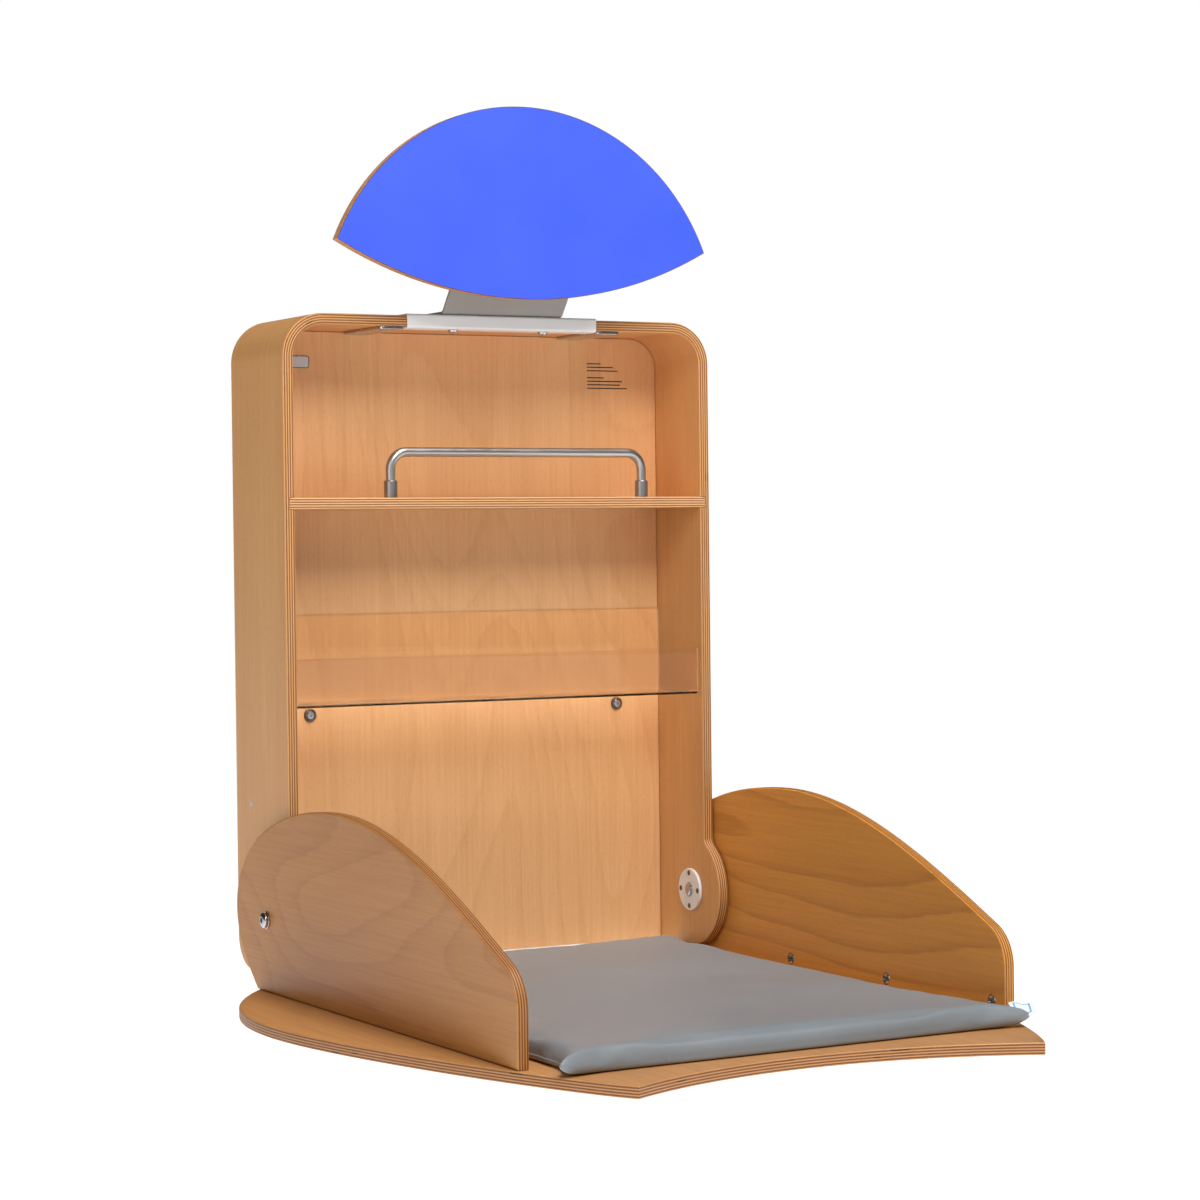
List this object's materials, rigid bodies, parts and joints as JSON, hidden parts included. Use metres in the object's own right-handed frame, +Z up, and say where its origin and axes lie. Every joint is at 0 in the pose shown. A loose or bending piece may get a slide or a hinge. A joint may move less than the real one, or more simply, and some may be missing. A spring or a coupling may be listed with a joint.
{
  "type": "wall-mounted changing table",
  "caption": "Shallow plywood wall cabinet with shelf, rail and clear tray, a lens-shaped header, and a padded changing leaf that folds up in front of it.",
  "frame": {"origin": "on the wall, in the middle of the lower batten's rear face, level with the two wall screws", "axes": "+Y into the wall, +Z up, +X to the right of a person who faces the wall"},
  "size_m": [0.7242, 0.8372, 0.9552],
  "materials": {
    "beech_plywood": "clear satin lacquer over beech veneer",
    "batten_wood": "planed softwood",
    "blue_laminate": "fine matte laminate",
    "white_powder_coat": "satin powder coat",
    "white_plastic": "turned nylon",
    "stainless_steel": "brushed or bright",
    "clear_acrylic": "clear, polished edges",
    "black_rubber": "matte",
    "grey_vinyl": "fine-grained vinyl cover",
    "badge": "blank satin plate"
  },
  "bodies": {
    "cabinet": {"cabinet_hoop": "beech_plywood", "back_panel": "beech_plywood", "shelf": "beech_plywood", "upper_batten": "batten_wood", "lower_batten": "batten_wood", "guard_rail": "stainless_steel", "acrylic_tray": "clear_acrylic", "wall_screw_left": "stainless_steel", "wall_screw_right": "stainless_steel", "wall_rosette_left": "stainless_steel", "wall_rosette_right": "stainless_steel", "side_screw_left": "stainless_steel", "side_screw_right": "stainless_steel", "edge_cover": "white_powder_coat", "neck_bracket": "white_powder_coat", "cover_bolt_left": "stainless_steel", "cover_bolt_right": "stainless_steel", "strap_left": "stainless_steel", "strap_right": "stainless_steel", "strap_screw_left_front": "stainless_steel", "strap_screw_left_rear": "stainless_steel", "strap_screw_right_front": "stainless_steel", "strap_screw_right_rear": "stainless_steel", "header_panel": "beech_plywood", "header_facing": "blue_laminate", "pivot_bush_left": "white_plastic", "pivot_bush_right": "white_plastic", "bush_screw_left_1": "stainless_steel", "bush_screw_left_2": "stainless_steel", "bush_screw_left_3": "stainless_steel", "bush_screw_left_4": "stainless_steel", "bush_screw_right_1": "stainless_steel", "bush_screw_right_2": "stainless_steel", "bush_screw_right_3": "stainless_steel", "bush_screw_right_4": "stainless_steel", "badge_plate": "badge"},
    "leaf": {"leaf_floor": "beech_plywood", "leaf_side_left": "beech_plywood", "leaf_side_right": "beech_plywood", "cross_dowel_left_1": "stainless_steel", "cross_dowel_left_2": "stainless_steel", "cross_dowel_left_3": "stainless_steel", "cross_dowel_right_1": "stainless_steel", "cross_dowel_right_2": "stainless_steel", "cross_dowel_right_3": "stainless_steel", "floor_bolt_left_1": "stainless_steel", "floor_bolt_left_2": "stainless_steel", "floor_bolt_left_3": "stainless_steel", "floor_bolt_right_1": "stainless_steel", "floor_bolt_right_2": "stainless_steel", "floor_bolt_right_3": "stainless_steel", "pivot_barrel_left": "stainless_steel", "pivot_barrel_right": "stainless_steel", "pivot_bolt_left": "stainless_steel", "pivot_bolt_right": "stainless_steel", "pivot_washer_left": "stainless_steel", "pivot_washer_right": "stainless_steel", "stop_buffer_left": "black_rubber", "stop_buffer_right": "black_rubber", "changing_pad": "grey_vinyl"}
  },
  "joints": [
    {"name": "leaf_hinge", "type": "hinge", "parent": "cabinet", "child": "leaf", "pos_m": [0, -0.129, -0.212], "axis": [-1, 0, 0], "range_deg": [0, 90]}
  ]
}
